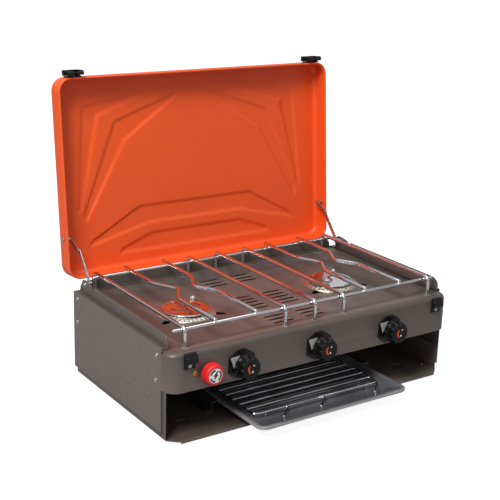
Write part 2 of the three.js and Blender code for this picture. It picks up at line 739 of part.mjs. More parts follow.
/** Where the two links meet with the lid open: in the case's Y-Z plane. */
const pinY = RIM.y + STAY.pin[0] * Math.sin(lean) + STAY.pin[1] * Math.cos(lean);
const pinZ = RIM.z + STAY.pin[0] * Math.cos(lean) - STAY.pin[1] * Math.sin(lean);
const [earY, earZ] = STAY.ear;
const reach = Math.hypot(pinY - earY, pinZ - earZ);
const across = Math.acos((STAY.lower ** 2 + reach ** 2 - STAY.upper ** 2) / (2 * STAY.lower * reach));
const lowerAngle = Math.atan2(pinZ - earZ, pinY - earY) + across;
const elbow = [earY + STAY.lower * Math.cos(lowerAngle), earZ + STAY.lower * Math.sin(lowerAngle)];
const upperAngle = Math.atan2(elbow[1] - pinZ, elbow[0] - pinY);

/** A flat link with round ends and a hole at its start, from x0 to x1. */
function link(length, x0, x1) {
  const r = STAY.width / 2;
  const shape = new THREE.Shape();
  shape.absarc(0, 0, r, Math.PI / 2, 1.5 * Math.PI);
  shape.absarc(length, 0, r, -Math.PI / 2, Math.PI / 2);
  return cut(plateX(shape, x0, x1, 4), rod("x", [0, 0], 2.3, x0 - 1, x1 + 1, 10));
}

const THICK = 1.5;
for (const [side, sign] of SIDES) {
  const lower = add(stove, `stay_lower_${side}`, sided(link(STAY.lower, STAY.lowerX - THICK, STAY.lowerX), sign), STEEL,
    [0, earY, earZ]);
  lower.rotation.x = lowerAngle;
  const upper = add(stove, `stay_upper_${side}`, sided(link(STAY.upper, STAY.upperX - THICK, STAY.upperX), sign), STEEL,
    [0, pinY, pinZ]);
  upper.rotation.x = upperAngle;
  const ear = CASE.half - CASE.inset - SHEET - GAP;
  const rivet = join(
    rod("x", [earY, earZ], 1.9, STAY.lowerX - THICK - 1, ear, 10),
    rod("x", [earY, earZ], 3.4, STAY.lowerX - THICK - 1.8, STAY.lowerX - THICK - GAP, 12),
    rod("x", [earY, earZ], 3.6, STAY.lowerX + GAP, ear, 12),
  );
  add(stove, `stay_rivet_${side}`, sided(rivet, sign), STEEL);
  const pin = join(
    rod("x", [STAY.pin[0], -STAY.pin[1]], 1.9, STAY.upperX - THICK, LID.half + 1, 10),
    rod("x", [STAY.pin[0], -STAY.pin[1]], 3, STAY.upperX + GAP, CASE.half - CASE.inset - SHEET - GAP, 12),
    rod("x", [STAY.pin[0], -STAY.pin[1]], 3, CASE.half - CASE.inset + GAP, LID.half - LID.sheet - GAP, 12),
    rod("x", [STAY.pin[0], -STAY.pin[1]], 3.8, LID.half + GAP, LID.half + 1.8, 12),
  );
  add(lid, `stay_pin_${side}`, sided(pin, sign), STEEL);
}

// ---- Latches on the lid's free edge, and the catches they hook on the front panel ----

/** The base that carries a latch's pin. */
function latchBase() {
  const wall = LID.length + GAP;
  const ear = (x) => {
    const shape = new THREE.Shape();
    shape.moveTo(wall, -15);
    shape.lineTo(wall, -0.8);
    shape.lineTo(LATCH.pinU - 2.7, -LATCH.pinV);
    shape.absarc(LATCH.pinU, -LATCH.pinV, 2.7, Math.PI, 0, true);
    shape.lineTo(wall + 1.8, -11);
    shape.lineTo(wall + 1.8, -15);
    return plateX(shape, x - 2, x + 2, 4);
  };
  return join(
    block(-LATCH.half + 1, LATCH.half - 1, wall, wall + 1.8, -16, -0.8),
    ear(-5.5),
    ear(5.5),
    rod("x", [LATCH.pinU, -LATCH.pinV], 1.4, -LATCH.half + 1, LATCH.half - 1, 12),
  );
}

/** The latch lever, folded back along the lid's edge: a plate with a window, a knuckle each side and a hook bar. */
function latchLever() {
  const { half, pinU, pinV, reach: end, window } = LATCH;
  const [near, far] = window;
  const plate = block(-half, half, pinU + 0.8, pinU + 4, -pinV - end, -pinV + 0.5);
  const bar = block(-half, half, pinU - 4, pinU + 4, -pinV - end, -pinV - far - 1.5);
  const grip = rod("x", [pinU + 1.9, -pinV - 1], 2.2, -half, half, 12);
  const opening = block(3 - half, half - 3, pinU - 1, pinU + 6, -pinV - far, -pinV - near);
  const room = block(-8, 8, pinU - 6, pinU + 6, -pinV - near - 1, -pinV + 9);
  const knuckle = [-1, 1].map((s) => (
    rod("x", [pinU, -pinV], 3, s < 0 ? -half : 8.2, s < 0 ? -8.2 : half, 14)
  ));
  return cut(
    cut(join(plate, bar, grip, ...knuckle), opening, room),
    rod("x", [pinU, -pinV], 1.75, -half - 1, half + 1, 12),
  );
}

/** A catch: a plate with a wedge that the latch's window drops over. */
function latchCatch() {
  const { half, bottom, block: low, top, out } = CATCH;
  const wedge = outline([
    [-GAP, bottom + 3],
    [-GAP, top],
    [-4, top],
    [-out, top - 7],
    [-out, low],
    [-2.6, low - 1],
    [-2.6, bottom],
    [-GAP, bottom],
  ]);
  return plateX(wedge, -half, half);
}

for (const [side, sign] of SIDES) {
  const x = sign * CATCH.x;
  add(lid, `latch_base_${side}`, latchBase(), BLACK, [x, 0, 0]);
  add(lid, `latch_${side}`, latchLever(), BLACK, [x, 0, 0]);
  add(stove, `catch_${side}`, latchCatch(), BLACK, [x, 0, 0]);
}

const part = new THREE.Group();
part.add(stove);

export default part;
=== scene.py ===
"""Looks of a two-burner camping stove with an orange lid.

Lengths in the shape code are millimetres from the middle of the front panel's face, X right, Y back, Z up.
place() turns them into metres in the model's frame. Lid pieces are laid out in the lid's own frame and pass
through lid_point() first: X across, U up from the hinge edge, W out of the lid's opening.
"""

import json
import math

import bmesh
import bpy
import numpy as np
from mathutils import Matrix, Vector

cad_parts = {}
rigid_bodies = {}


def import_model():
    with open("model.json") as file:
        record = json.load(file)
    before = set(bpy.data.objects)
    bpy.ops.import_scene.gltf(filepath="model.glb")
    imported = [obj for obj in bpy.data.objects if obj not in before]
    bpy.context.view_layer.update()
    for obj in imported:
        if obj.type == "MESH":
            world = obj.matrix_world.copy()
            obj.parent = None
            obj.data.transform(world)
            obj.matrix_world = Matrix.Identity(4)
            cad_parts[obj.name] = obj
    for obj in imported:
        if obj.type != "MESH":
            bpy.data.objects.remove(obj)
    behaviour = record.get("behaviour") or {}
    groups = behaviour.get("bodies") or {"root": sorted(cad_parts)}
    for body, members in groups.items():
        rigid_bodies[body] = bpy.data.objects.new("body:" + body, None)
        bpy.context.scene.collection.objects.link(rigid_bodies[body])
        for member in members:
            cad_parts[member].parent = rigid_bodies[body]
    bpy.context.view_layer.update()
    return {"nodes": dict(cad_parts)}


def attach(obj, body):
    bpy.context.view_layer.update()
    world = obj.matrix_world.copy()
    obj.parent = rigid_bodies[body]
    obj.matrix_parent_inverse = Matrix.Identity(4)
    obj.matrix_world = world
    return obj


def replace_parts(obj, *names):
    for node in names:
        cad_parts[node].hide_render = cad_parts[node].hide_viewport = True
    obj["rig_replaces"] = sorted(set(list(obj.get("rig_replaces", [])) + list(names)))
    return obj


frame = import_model()

# ---- Dimensions, in millimetres ----

MM = 0.001
CENTRE_Y = 160
HALF = 250
DEPTH = 290
FASCIA = {"bottom": 77.7, "top": 134, "corner": 20, "back": 22.3, "edge": 7}
WELL = {"floor": 124.8, "half": 205, "front": 40, "back": 268, "slope_x": 17, "slope_y": 13}
BURNER = {"x": 134.5, "y": 153, "hole": 36, "flange": 45, "cap": 36, "spark": 33, "spark_hole": 37}
MARK_RADIUS = 11
HOLE_RADIUS = {"spark": 6.5, "leg": 4, "knob": 7, "igniter": 9}
SLOT = {"half_width": 2.35, "half_length": 17.5, "x": 28}
CUT_SPAN = (110, 140)
SLOT_ROWS = [53.5, 66, 78.5, 92, 117.3, 130, 143, 155.5, 168, 232, 245, 259]
KNOB = {"xs": {"left": -137.5, "middle": -5, "right": 127.4}, "z": 101.7, "front": 27}
PIEZO = {"x": -188.8, "z": 100.2}
CATCH = (220, 115.8)
LID = {"length": 305.5, "depth": 32.9, "half": 247.2, "corner": 20, "shoulder": 8, "sheet": 1.2, "hem": 2.6}
LEAN = math.radians(5.14)
RIM = (307.8, 145.7)
WIRE = {"bar": 3, "rail": 2.6, "z": 161.7, "front": 17, "back": 284}
RAILS = {"front": (25.2, 232), "back": (272.7, 227)}
BARS = [-217, -165, -98, -52.4, 0, 52.4, 98, 165, 217]
# The bars that bend past a burner, by number, with the way that each bends.
BURNER_BARS = {1: 1, 2: -1, 6: 1, 7: -1}
TRAY = {"half": 133, "front": -48, "length": 250, "rim": 21.6, "floor": 10.6, "sheet": 0.8, "slope": 27}
RACK = {"half": 112.5, "z": 17.8, "wire": 1.3, "first": 0, "pitch": 18.4, "wires": 11}
STAY_EAR = (265, 152.5)
SIDES = {"left": -1, "right": 1}


def place(points):
    """Millimetres to metres in the model's frame."""
    return (np.asarray(points, float).reshape(-1, 3) - (0, CENTRE_Y, 0)) * MM


def lid_point(points):
    """The lid's own frame to millimetres."""
    p = np.asarray(points, float).reshape(-1, 3)
    up = np.array([0, math.sin(LEAN), math.cos(LEAN)])
    into = np.array([0, math.cos(LEAN), -math.sin(LEAN)])
    across = np.array([1, 0, 0])
    origin = np.array([0, *RIM])
    return origin + p[:, :1] * across + p[:, 1:2] * up - p[:, 2:3] * into


# ---- Materials ----


class Nodes:
    """A small helper to wire up one material."""

    def __init__(self, name):
        self.material = bpy.data.materials.new(name)
        self.material.use_nodes = True
        self.tree = self.material.node_tree
        self.shader = self.tree.nodes["Principled BSDF"]
        self.coords = self.add("ShaderNodeTexCoord").outputs["Object"]

    def add(self, kind, **inputs):
        node = self.tree.nodes.new(kind)
        for key, value in inputs.items():
            node.inputs[key.replace("_", " ")].default_value = value
        return node

    def link(self, output, socket):
        self.tree.links.new(output, socket)

    def noise(self, scale, detail):
        noise = self.add("ShaderNodeTexNoise", Scale=scale, Detail=detail)
        self.link(self.coords, noise.inputs["Vector"])
        return noise.outputs["Fac"]

    def between(self, value, low, high, from_low=0.3, from_high=0.7):
        node = self.add("ShaderNodeMapRange")
        for i, number in enumerate([from_low, from_high, low, high], start=1):
            node.inputs[i].default_value = number
        self.link(value, node.inputs["Value"])
        return node.outputs["Result"]

    def blend(self, factor, first, second):
        node = self.tree.nodes.new("ShaderNodeMix")
        node.data_type = "RGBA"
        self.link(factor, node.inputs["Factor"])
        for socket, colour in ((node.inputs["A"], first), (node.inputs["B"], second)):
            if hasattr(colour, "links"):
                self.link(colour, socket)
            else:
                socket.default_value = (*colour, 1)
        return node.outputs["Result"]

    def edges(self):
        """How far a point is on an outside edge, from 0 to 1; the mask of the painted edge highlight."""
        geometry = self.add("ShaderNodeNewGeometry")
        return self.between(geometry.outputs["Pointiness"], 0, 1, 0.52, 0.6)

    def bump(self, heights, distance, strength):
        node = self.add("ShaderNodeBump", Strength=strength, Distance=distance)
        self.link(heights, node.inputs["Height"])
        self.link(node.outputs["Normal"], self.shader.inputs["Normal"])


def linear(red, green, blue):
    """A screen colour, 0 to 255, as light."""
    return tuple(((c / 255 + 0.055) / 1.055) ** 2.4 if c > 10 else c / 255 / 12.92 for c in (red, green, blue))


def finish_of(name, colour, roughness, metallic=0.0, vary=0.12, cloud=9, grain=1400, depth=0.00004, edge_highlight=None,
              coat=0.0, specular=0.5):
    """A finish with drifting colour and gloss, a fine grain in the surface and a painted highlight along its
    edges, in a lighter or darker colour.
    """
    nodes = Nodes(name)
    shader = nodes.shader
    shader.inputs["Metallic"].default_value = metallic
    shader.inputs["Coat Weight"].default_value = coat
    shader.inputs["Coat Roughness"].default_value = 0.15
    shader.inputs["Specular IOR Level"].default_value = specular
    clouds = nodes.noise(cloud, 4)
    darker = tuple(c * (1 - vary) for c in colour)
    lighter = tuple(min(1, c * (1 + vary)) for c in colour)
    tint = nodes.blend(nodes.between(clouds, 0, 1), darker, lighter)
    # Outside edges are painted in a lighter colour: a painted highlight where edges catch the light.
    if edge_highlight:
        tint = nodes.blend(nodes.edges(), tint, edge_highlight)
    nodes.link(tint, shader.inputs["Base Color"])
    fine = nodes.noise(grain, 2)
    patches = nodes.noise(cloud * 7, 5)
    nodes.link(nodes.between(patches, roughness * 0.85, roughness * 1.15), shader.inputs["Roughness"])
    nodes.bump(fine, depth, 0.35)
    return nodes.material


# Each finish's lighter edge colour is a painted highlight along its edges.
PAINT = {
    "grey_enamel": finish_of("grey_enamel", linear(82, 73, 68), 0.36, vary=0.06, cloud=6, grain=900,
                             depth=0.00005, edge_highlight=linear(112, 102, 96)),
    "orange_enamel": finish_of("orange_enamel", linear(232, 85, 28), 0.42, vary=0.04, cloud=5, grain=800,
                               depth=0.00006, edge_highlight=linear(244, 112, 56)),
    "dark_enamel": finish_of("dark_enamel", linear(92, 92, 95), 0.17, cloud=12, grain=500, depth=0.00003,
                             edge_highlight=linear(168, 166, 162), coat=0.6),
    "zinc_steel": finish_of("zinc_steel", linear(188, 186, 182), 0.32, 1.0, cloud=30, grain=2500,
                            depth=0.00003),
    "chrome": finish_of("chrome", linear(226, 226, 230), 0.07, 1.0, vary=0.04, cloud=14, grain=900,
                        depth=0.00001),
    "burner_aluminium": finish_of("burner_aluminium", linear(205, 200, 192), 0.34, 1.0, cloud=40, grain=1800,
                                  depth=0.00006, edge_highlight=linear(232, 222, 190)),
    "brass": finish_of("brass", linear(206, 158, 78), 0.26, 1.0, cloud=60, grain=2400, depth=0.00003),
    "black_plastic": finish_of("black_plastic", linear(9, 8, 9), 0.3, vary=0.2, cloud=40, grain=3000,
                               edge_highlight=linear(30, 28, 30), specular=0.3),
    "red_plastic": finish_of("red_plastic", linear(204, 20, 24), 0.3, vary=0.08, cloud=40, grain=3000,
                             depth=0.00003, edge_highlight=linear(236, 70, 66)),
    "rubber": finish_of("rubber", linear(30, 30, 31), 0.8, vary=0.2, cloud=50, grain=2600, depth=0.00008),
    "ceramic": finish_of("ceramic", linear(228, 222, 210), 0.3, vary=0.05, cloud=60, grain=1500, depth=0.00003),
}
WHITE_PRINT = finish_of("white_print", linear(236, 236, 232), 0.4, vary=0.03, cloud=90, grain=2000,
                        depth=0.00002)
ORANGE_PRINT = finish_of("orange_print", linear(240, 74, 34), 0.4, vary=0.05, cloud=90, grain=2000,
                         depth=0.00002)
SILVER_PRINT = finish_of("silver_print", linear(206, 202, 198), 0.35, 0.2, vary=0.1, cloud=90, grain=2400,
                         depth=0.00003)
CLEAR_RUBBER = finish_of("clear_rubber", linear(158, 152, 148), 0.4, vary=0.1, cloud=60, grain=2000)
# A dark steel standing in for shade: painted shade inside the stove and along the burner caps' S.
SHADED_STEEL = finish_of("steel_painted_shade", linear(96, 94, 92), 0.45, 1.0, vary=0.2, cloud=20, grain=1800)

# ---- Shapes ----


class Build:
    """Points and faces, gathered from several closed skins."""

    def __init__(self):
        self.points = []
        self.faces = []

    def add(self, points, faces):
        start = len(self.points)
        self.points += [tuple(p) for p in points]
        self.faces += [tuple(start + i for i in face) for face in faces]
        return self


def skin(rings, caps=True, closed=False):
    """The skin through rings of equally many points."""
    count = len(rings[0])
    faces = []
    for r in range(len(rings) - (0 if closed else 1)):
        low = r * count
        high = (r + 1) % len(rings) * count
        for i in range(count):
            j = (i + 1) % count
            faces.append((low + i, low + j, high + j, high + i))
    if caps and not closed:
        last = (len(rings) - 1) * count
        faces.append(tuple(reversed(range(count))))
        faces.append(tuple(range(last, last + count)))
    return np.concatenate([np.asarray(ring, float) for ring in rings]), faces


def arc(centre, radius, start, end, steps):
    """Points on an arc, in degrees."""
    angles = np.radians(np.linspace(start, end, steps + 1))
    return [(centre[0] + radius * math.cos(a), centre[1] + radius * math.sin(a)) for a in angles]


def rounded(x0, x1, y0, y1, low, high=None, steps=8):
    """A rectangle's outline, anticlockwise, with a radius for each end in its second direction."""
    high = low if high is None else high
    return [
        *arc((x0 + low, y0 + low), low, 180, 270, steps),
        *arc((x1 - low, y0 + low), low, 270, 360, steps),
        *arc((x1 - high, y1 - high), high, 0, 90, steps),
        *arc((x0 + high, y1 - high), high, 90, 180, steps),
    ]


def at_height(outline, z):
    return [(x, y, z) for x, y in outline]


def bent(corners, radius, steps=6):
    """Points along a line with rounded corners."""
    at = [np.array(c, float) for c in corners]
    points = [at[0]]
    for before, corner, after in zip(at, at[1:], at[2:]):
        into = before - corner
        out = after - corner
        reach = min(radius, np.linalg.norm(into) / 2.1, np.linalg.norm(out) / 2.1)
        start = corner + into / np.linalg.norm(into) * reach
        end = corner + out / np.linalg.norm(out) * reach
        for step in range(steps + 1):
            t = step / steps
            points.append(start * (1 - t) ** 2 + corner * 2 * t * (1 - t) + end * t**2)
    points.append(at[-1])
    return points


def tube(path, radius, sides=14, dome=True, flat=1.0):
    """A round wire along a path, with slightly domed ends."""
    path = [np.array(p, float) for p in path]
    tangents = []
    for i in range(len(path)):
        ahead = path[min(i + 1, len(path) - 1)] - path[max(i - 1, 0)]
        tangents.append(ahead / np.linalg.norm(ahead))
    side = np.cross(tangents[0], (0, 0, 1))
    if np.linalg.norm(side) < 0.1:
        side = np.cross(tangents[0], (0, 1, 0))
    rings = []
    stations = list(zip(path, tangents, [radius] * len(path)))
    if dome:
        first = [(path[0] + tangents[0] * radius * a, tangents[0], radius * b)
                 for a, b in ((0.02, 0.55), (0.12, 0.85))]
        last = [(path[-1] - tangents[-1] * radius * a, tangents[-1], radius * b)
                for a, b in ((0.12, 0.85), (0.02, 0.55))]
        stations = [(path[0], tangents[0], radius * 0.3), *first,
                    (path[0] + tangents[0] * radius * 0.4, tangents[0], radius), *stations[1:-1],
                    (path[-1] - tangents[-1] * radius * 0.4, tangents[-1], radius), *last,
                    (path[-1], tangents[-1], radius * 0.3)]
    for centre, tangent, size in stations:
        side = side - tangent * np.dot(side, tangent)
        side = side / np.linalg.norm(side)
        other = np.cross(tangent, side)
        ring = []
        for k in range(sides):
            angle = 2 * math.pi * k / sides
            ring.append(centre + side * size * math.cos(angle) + other * size * flat * math.sin(angle))
        rings.append(ring)
    return skin(rings)


def turned(section, centre=(0, 0, 0), axis="z", sides=48, ripple=None):
    """A turned skin from [radius, height] pairs that start and end on the axis, or close on themselves."""
    on_axis = section[0][0] < 1e-6 and section[-1][0] < 1e-6
    rings = []
    for k, (radius, height) in enumerate(section):
        ring = []
        for i in range(sides):
            angle = 2 * math.pi * i / sides
            r = max(radius, 0.01) + (ripple(angle, k) if ripple else 0)
            ring.append((r * math.cos(angle), r * math.sin(angle), height))
        rings.append(ring)
    points, faces = skin(rings, caps=on_axis, closed=not on_axis)
    if axis == "y":
        points = np.stack([points[:, 0], -points[:, 2], points[:, 1]], axis=1)
    if axis == "x":
        points = np.stack([points[:, 2], points[:, 0], points[:, 1]], axis=1)
    return points + np.array(centre, float), faces


def box(x0, x1, y0, y1, z0, z1):
    outline = [(x0, y0), (x1, y0), (x1, y1), (x0, y1)]
    return skin([at_height(outline, z0), at_height(outline, z1)])


def mesh_of(name, build, transform=place):
    mesh = bpy.data.meshes.new(name)
    mesh.from_pydata([tuple(p) for p in transform(build.points)], [], build.faces)
    work = bmesh.new()
    work.from_mesh(mesh)
    bmesh.ops.remove_doubles(work, verts=work.verts, dist=2e-6)
    bmesh.ops.recalc_face_normals(work, faces=work.faces)
    work.to_mesh(mesh)
    work.free()
    return mesh


def thing(name, mesh):
    made = bpy.data.objects.new(name, mesh)
    bpy.context.scene.collection.objects.link(made)
    return made


def smooth(mesh, angle):
    mesh.polygons.foreach_set("use_smooth", [True] * len(mesh.polygons))
    mesh.set_sharp_from_angle(angle=math.radians(angle))


def soften(made, width, angle=30, segments=3):
    """Rounds the sharp edges by a width in millimetres."""
    bevel = made.modifiers.new("rounding", "BEVEL")
    bevel.width = width * MM
    bevel.segments = segments
    bevel.limit_method = "ANGLE"
    bevel.angle_limit = math.radians(angle)
    bevel.harden_normals = True
    bevel.use_clamp_overlap = True


def piece(name, build, body, slot, replaces=(), material=None, angle=35, transform=place, rounding=0):
    """Makes a piece that rides on a body and takes its finish from a slot."""
    mesh = build if isinstance(build, bpy.types.Mesh) else mesh_of(name, build, transform)
    made = thing(name, mesh)
    smooth(mesh, angle)
    mesh.materials.clear()
    mesh.materials.append(material or PAINT[slot])
    if rounding:
        soften(made, rounding, angle)
    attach(made, body)
    if replaces:
        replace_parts(made, *replaces)
    return made


def cut_out(base, tools, added=()):
    """A mesh with solids joined on and then others taken away."""
    work = thing("work", base)
    for operation, builds in (("UNION", added), ("DIFFERENCE", tools)):
        for build in builds:
            tool = thing("tool", mesh_of("tool", build))
            modifier = work.modifiers.new("cut", "BOOLEAN")
            modifier.operation = operation
            modifier.solver = "EXACT"
            modifier.object = tool
    evaluated = work.evaluated_get(bpy.context.evaluated_depsgraph_get())
    result = bpy.data.meshes.new_from_object(evaluated)
    for made in [o for o in bpy.data.objects if o.name.startswith(("work", "tool"))]:
        bpy.data.objects.remove(made)
    drop_twins(result)
    return result


def drop_twins(mesh):
    """Faces that lie twice in one place are kept once."""
    work = bmesh.new()
    work.from_mesh(mesh)
    bmesh.ops.remove_doubles(work, verts=work.verts, dist=1e-7)
    work.verts.index_update()
    seen, twins = set(), []
    for face in work.faces:
        corners = frozenset(v.index for v in face.verts)
        if corners in seen:
            twins.append(face)
        seen.add(corners)
    bmesh.ops.delete(work, geom=twins, context="FACES_ONLY")
    work.to_mesh(mesh)
    work.free()


# ---- CAD nodes that stay: rounded edges and a finish, with painted edge highlights and painted shade inside ----

ROUNDING = {
    "side_panel": 0.45, "floor_pan": 0.4, "back_panel": 0.4, "knob_bezel": 0.8, "catch": 0.6, "latch": 0.5,
    "stay": 0.4, "hinge": 0.3, "grill_hood": 0.4, "tray_runner": 0.3, "foot": 0.5, "gas_tap": 0.5,
}


def dress_cad_nodes(hidden):
    """Rounds the CAD nodes that show and gives each the finish of its own slot; the grill's hood and burner
    instead get a dark steel, painted shade for the stove's dark inside.
    """
    slots = {name: node.data.materials[0].name for name, node in frame["nodes"].items()}
    for name, node in frame["nodes"].items():
        if name in hidden:
            continue
        mesh = node.data
        for stale in ("custom_normal", "sharp_edge", "sharp_face"):
            if stale in mesh.attributes:
                mesh.attributes.remove(mesh.attributes[stale])
        mesh.polygons.foreach_set("use_smooth", [True] * len(mesh.polygons))
        weld = node.modifiers.new("weld", "WELD")
        weld.merge_threshold = 1e-6
        flat = node.modifiers.new("flat", "DECIMATE")
        flat.decimate_type = "DISSOLVE"
        flat.angle_limit = math.radians(1)
        width = next((w for key, w in ROUNDING.items() if name.startswith(key)), 0.3)
        soften(node, width, 28, 2)
        # The grill's hood and burner are painted dark as shade, so the hob's slots look dark.
        shaded_inside = name in ("grill_hood", "grill_burner")
        node.material_slots[0].material = SHADED_STEEL if shaded_inside else PAINT[slots[name]]


# ---- Hob top and front panel ----


def ramp(f, a=0.3):
    """A straight climb from 0 to 1 with rounded ends."""
    if f < a:
        return (f + a) ** 2 / (4 * a)
    if f > 1 - a:
        return 1 - (1 + a - f) ** 2 / (4 * a)
    return f


def well_rings(drop, lift=4):
    """The well's sides, from under its floor to above its rim."""
    top = FASCIA["top"] - drop
    floor = WELL["floor"] - drop
    rings = []
    for f in np.linspace(-0.3, 1.3, 17):
        grow_x = WELL["slope_x"] * f
        grow_y = WELL["slope_y"] * f
        outline = rounded(-WELL["half"] - grow_x, WELL["half"] + grow_x, WELL["front"] - grow_y,
                          WELL["back"] + grow_y, 18 + 5 * f)
        rings.append(at_height(outline, floor + (top - floor) * ramp(f)))
    rings.append([(x, y, z + lift) for x, y, z in rings[-1]])
    return rings


def fascia_rings(wall):
    """The front panel and its rounded top edge, set in by a wall's thickness."""
    half = HALF - wall
    low = FASCIA["bottom"] - (10 if wall else 0)
    back = FASCIA["back"] + (2 if wall else 0)
    levels = [(0, low)]
    for step in range(9):
        angle = math.radians(step / 8 * 90)
        edge = FASCIA["edge"]
        levels.append((edge * (1 - math.cos(angle)), FASCIA["top"] - wall - edge * (1 - math.sin(angle))))
    rings = []
    for inset, z in levels:
        radius = FASCIA["corner"] - wall - inset / 2
        outline = rounded(-half + inset, half - inset, wall + inset, back, radius, 0.05)
        rings.append(at_height(outline, z))
    return rings


def leg_holes():
    return [(BARS[i], y) for i in (0, 3, 4, 5, 8) for y in (WIRE["front"], WIRE["back"])]


def drill(holes, x, y, radius, sides=48):
    """An upright cutter through the hob."""
    low, high = CUT_SPAN
    holes.add(*turned([(0, low), (radius, low), (radius, high), (0, high)], (x, y, 0), sides=sides))


def drill_front(holes, x, z, radius):
    """A level cutter through the front panel."""
    holes.add(*turned([(0, -5), (radius, -5), (radius, 10), (0, 10)], (x, 0, z), "y", 24))


def hob_tools():
    holes = Build()
    for sign in SIDES.values():
        x, y = sign * BURNER["x"], BURNER["y"]
        drill(holes, x, y, BURNER["hole"])
        drill(holes, x + BURNER["spark_hole"], y + BURNER["spark_hole"], HOLE_RADIUS["spark"], 28)
        for row in SLOT_ROWS:
            middle, w = sign * SLOT["x"], SLOT["half_width"]
            outline = rounded(middle - SLOT["half_length"], middle + SLOT["half_length"], row - w, row + w, w,
                              steps=5)
            holes.add(*skin([at_height(outline, z) for z in CUT_SPAN]))
    for x, y in leg_holes():
        drill(holes, x, y, HOLE_RADIUS["leg"], 24)
    for x in KNOB["xs"].values():
        drill_front(holes, x, KNOB["z"], HOLE_RADIUS["knob"])
    drill_front(holes, PIEZO["x"], PIEZO["z"], HOLE_RADIUS["igniter"])
    notches = Build()
    for sign in SIDES.values():
        for turn in (206, -33):
            c, s = math.cos(math.radians(turn)), math.sin(math.radians(turn))
            corners = ((30, -9), (59, -3.2), (59, 3.2), (30, 9))
            outline = [(sign * BURNER["x"] + a * c - b * s, BURNER["y"] + a * s + b * c) for a, b in corners]
            notches.add(*skin([at_height(outline, z) for z in CUT_SPAN]))
    return [holes, notches]


def make_hob():
    side, top = HALF - 1.3, FASCIA["top"]
    ledge = Build().add(*box(-side, side, FASCIA["back"] - 1, DEPTH - 1.3, top - 1, top))
    solid = mesh_of("shell", Build().add(*skin(fascia_rings(0))))
    shell = cut_out(solid, [Build().add(*skin(fascia_rings(1)))])
    under = Build().add(*skin(well_rings(0.5, 0.3)))
    well = Build().add(*skin(well_rings(0)))
    hob = cut_out(shell, [well, *hob_tools()], [ledge, under])
    made = piece("hob", hob, "base", "grey_enamel", ["hob_top"], angle=30)
    made.modifiers.new("even_shading", "WEIGHTED_NORMAL").keep_sharp = True


# ---- Lid ----

LID_ROWS = 56
LID_STEPS_ACROSS = 200
LID_STEPS_UP = 124
RELIEF = {"depth": 2.3, "slope": 1.2}
LID_BANDS = [
    [(98, 275), (197, 258), (211, 98), (207, 98), (172, 243), (98, 270)],
    [(30, 270), (143, 232), (202, 93), (200, 78), (127, 202), (30, 266)],
]
LID_STEPS = [
    [(-190, 49), (-106, 94), (106, 94), (190, 49), (194, 41), (85, 67), (-85, 67), (-194, 41)],
    [(-140, 29), (-84, 49), (84, 49), (140, 29), (142, 23), (-142, 23)],
]


def inside_depth(points, polygon):
    """How far each point is inside a polygon, negative outside."""
    corners = np.array(polygon, float)
    best = np.full(len(points), 1e9)
    inside = np.zeros(len(points), bool)
    for a, b in zip(corners, np.roll(corners, -1, axis=0)):
        along = b - a
        t = np.clip(((points - a) @ along) / (along @ along), 0, 1)
        best = np.minimum(best, np.linalg.norm(points - (a + t[:, None] * along), axis=1))
        crosses = (a[1] > points[:, 1]) != (b[1] > points[:, 1])
        rise = b[1] - a[1] if abs(b[1] - a[1]) > 1e-9 else 1e-9
        inside ^= crosses & (points[:, 0] < (b[0] - a[0]) * (points[:, 1] - a[1]) / rise + a[0])
    return np.where(inside, best, -best)


def lid_relief(points):
    """How far the pressed star pattern pushes the lid's face out, for points across and up."""
    bands = [*LID_BANDS, *[[(-x, u) for x, u in band] for band in LID_BANDS], *LID_STEPS]
    height = np.zeros(len(points))
    for band in bands:
        share = np.clip(inside_depth(points, band) / RELIEF["slope"] / 2 + 0.5, 0, 1)
        height = np.maximum(height, share * share * (3 - 2 * share))
    return height * RELIEF["depth"]


def lid_ring(inset, w):
    """One ring round the lid, evenly stepped along its straight sides."""
    half = LID["half"] - inset
    low, high = inset, LID["length"] - inset
    r = max(LID["corner"] - inset * 0.6, 6)
    corners = [
        ((half - r, low + r), -90), ((half - r, high - r), 0),
        ((-half + r, high - r), 90), ((-half + r, low + r), 180),
    ]
    ring = []
    for k, (centre, start) in enumerate(corners):
        ring += arc(centre, r, start, start + 90, 8)
        a = ring[-1]
        following, turn = corners[(k + 1) % 4]
        b = arc(following, r, turn, turn, 0)[0]
        steps = LID_STEPS_ACROSS if k in (1, 3) else LID_STEPS_UP
        for i in range(1, steps):
            ring.append((a[0] + (b[0] - a[0]) * i / steps, a[1] + (b[1] - a[1]) * i / steps))
    return np.array([(x, u, w) for x, u in ring])


def lid_floor(edge):
    """Rings from a floor's edge to its middle line."""
    middle = LID["length"] / 2
    spine = np.stack([np.clip(edge[:, 0], -95, 95), np.full(len(edge), middle), edge[:, 2]], axis=1)
    rings = []
    for row in range(1, LID_ROWS + 1):
        share = row / LID_ROWS
        ring = edge + (spine - edge) * share
        ring[:, 2] -= lid_relief(ring[:, :2])
        rings.append(ring)
    return rings


def shoulder_rings(wall, radius, w):
    """Rings down the rounded edge between the lid's sides and its face."""
    rings = []
    for step in range(9):
        angle = step / 8 * math.pi / 2
        rings.append(lid_ring(wall + radius * (1 - math.sin(angle)), w + radius * (1 - math.cos(angle))))
    return rings


def make_lid():
    sheet, hem, depth = LID["sheet"], LID["hem"], LID["depth"]
    outside = shoulder_rings(0, LID["shoulder"], -depth)
    inside = shoulder_rings(sheet, LID["shoulder"] - sheet, -depth + sheet)[::-1]
    bead = [lid_ring(hem / 2 - hem / 2 * math.cos(a), -0.9 + 0.9 * math.sin(a))
            for a in np.linspace(0, math.pi, 9)]
    rings = [
        *lid_floor(outside[0])[::-1], *outside, *bead,
        lid_ring(hem, -4.5), lid_ring(sheet, -5.5),
        *inside, *lid_floor(inside[-1]),
    ]
    build = Build().add(*skin(rings, caps=False))
    piece("lid", build, "lid", "orange_enamel", ["lid_shell"], angle=50,
          transform=lambda p: place(lid_point(p)))


# ---- Pan support ----

